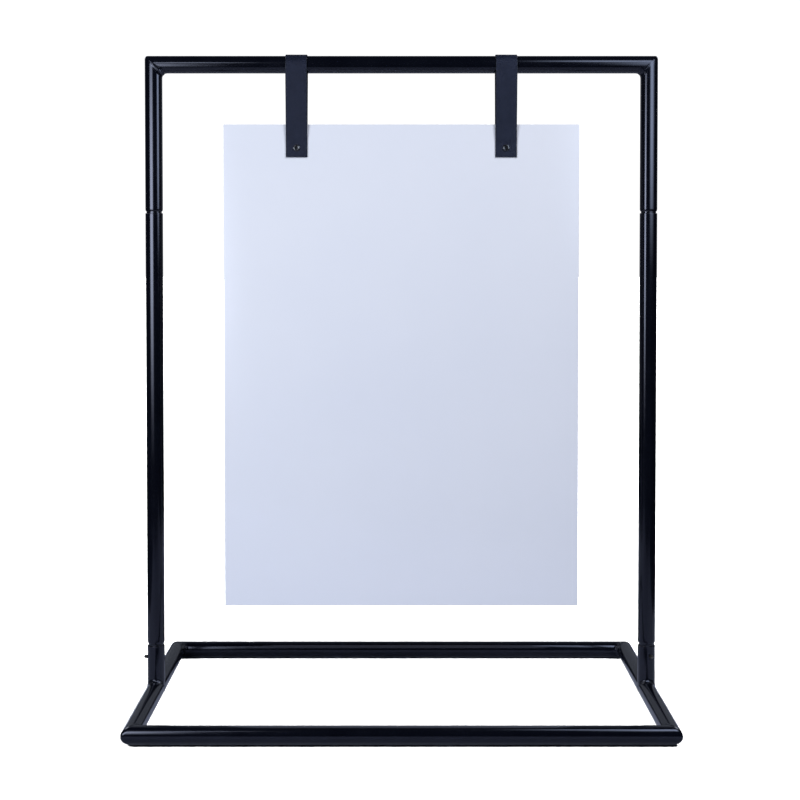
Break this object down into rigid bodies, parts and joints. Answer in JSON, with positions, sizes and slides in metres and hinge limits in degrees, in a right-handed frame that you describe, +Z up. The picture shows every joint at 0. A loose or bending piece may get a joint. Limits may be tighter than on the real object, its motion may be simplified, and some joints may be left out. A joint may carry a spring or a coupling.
{
  "type": "sign stand",
  "caption": "Free-standing tubular frame on a rectangular base, with a flat sign panel hung from its top bar on leather straps.",
  "frame": {"origin": "the middle of the base, on the floor under its round rails", "axes": "+X to the right and +Z up; the front of the sign and the long front rail face -Y"},
  "size_m": [0.7411, 0.46, 0.9268],
  "materials": {
    "frame_paint": "gloss black powder coat",
    "button_metal": "blackened steel",
    "spring_steel": "spring temper, oiled",
    "strap_leather": "matte dark slate, fine grain",
    "screw_black": "gloss black",
    "panel_white": "semi-gloss cool white"
  },
  "bodies": {
    "base_frame": {"base_front_rail": "frame_paint", "base_back_rail": "frame_paint", "base_left_rail": "frame_paint", "base_right_rail": "frame_paint", "base_corner_welds": "frame_paint", "left_socket_stub": "frame_paint", "right_socket_stub": "frame_paint", "stub_welds": "frame_paint", "left_lower_upright": "frame_paint", "right_lower_upright": "frame_paint", "left_snap_spring": "spring_steel", "right_snap_spring": "spring_steel"},
    "left_button": {"left_snap_button": "button_metal"},
    "right_button": {"right_snap_button": "button_metal"},
    "upper_frame": {"left_upper_post": "frame_paint", "right_upper_post": "frame_paint", "top_bar": "frame_paint", "top_corner_welds": "frame_paint"},
    "sign": {"left_strap": "strap_leather", "right_strap": "strap_leather", "sign_panel": "panel_white", "left_barrel_nut": "screw_black", "right_barrel_nut": "screw_black", "left_screw": "screw_black", "right_screw": "screw_black"}
  },
  "joints": [
    {"name": "upper_frame_lift", "type": "slide", "parent": "base_frame", "child": "upper_frame", "axis": [0, 0, 1], "range_m": [0, 0.06]},
    {"name": "sign_swing", "type": "hinge", "parent": "upper_frame", "child": "sign", "pos_m": [0, 0, 0.9125], "axis": [1, 0, 0], "range_deg": [-90, 90]},
    {"name": "left_button_press", "type": "slide", "parent": "base_frame", "child": "left_button", "axis": [1, 0, 0], "range_m": [0, 0.007], "stiffness_N_per_m": 800, "springref_m": -0.002, "deforming": ["left_snap_spring"]},
    {"name": "right_button_press", "type": "slide", "parent": "base_frame", "child": "right_button", "axis": [-0.342, 0.9397, 0], "range_m": [0, 0.007], "stiffness_N_per_m": 800, "springref_m": -0.002, "deforming": ["right_snap_spring"]}
  ]
}
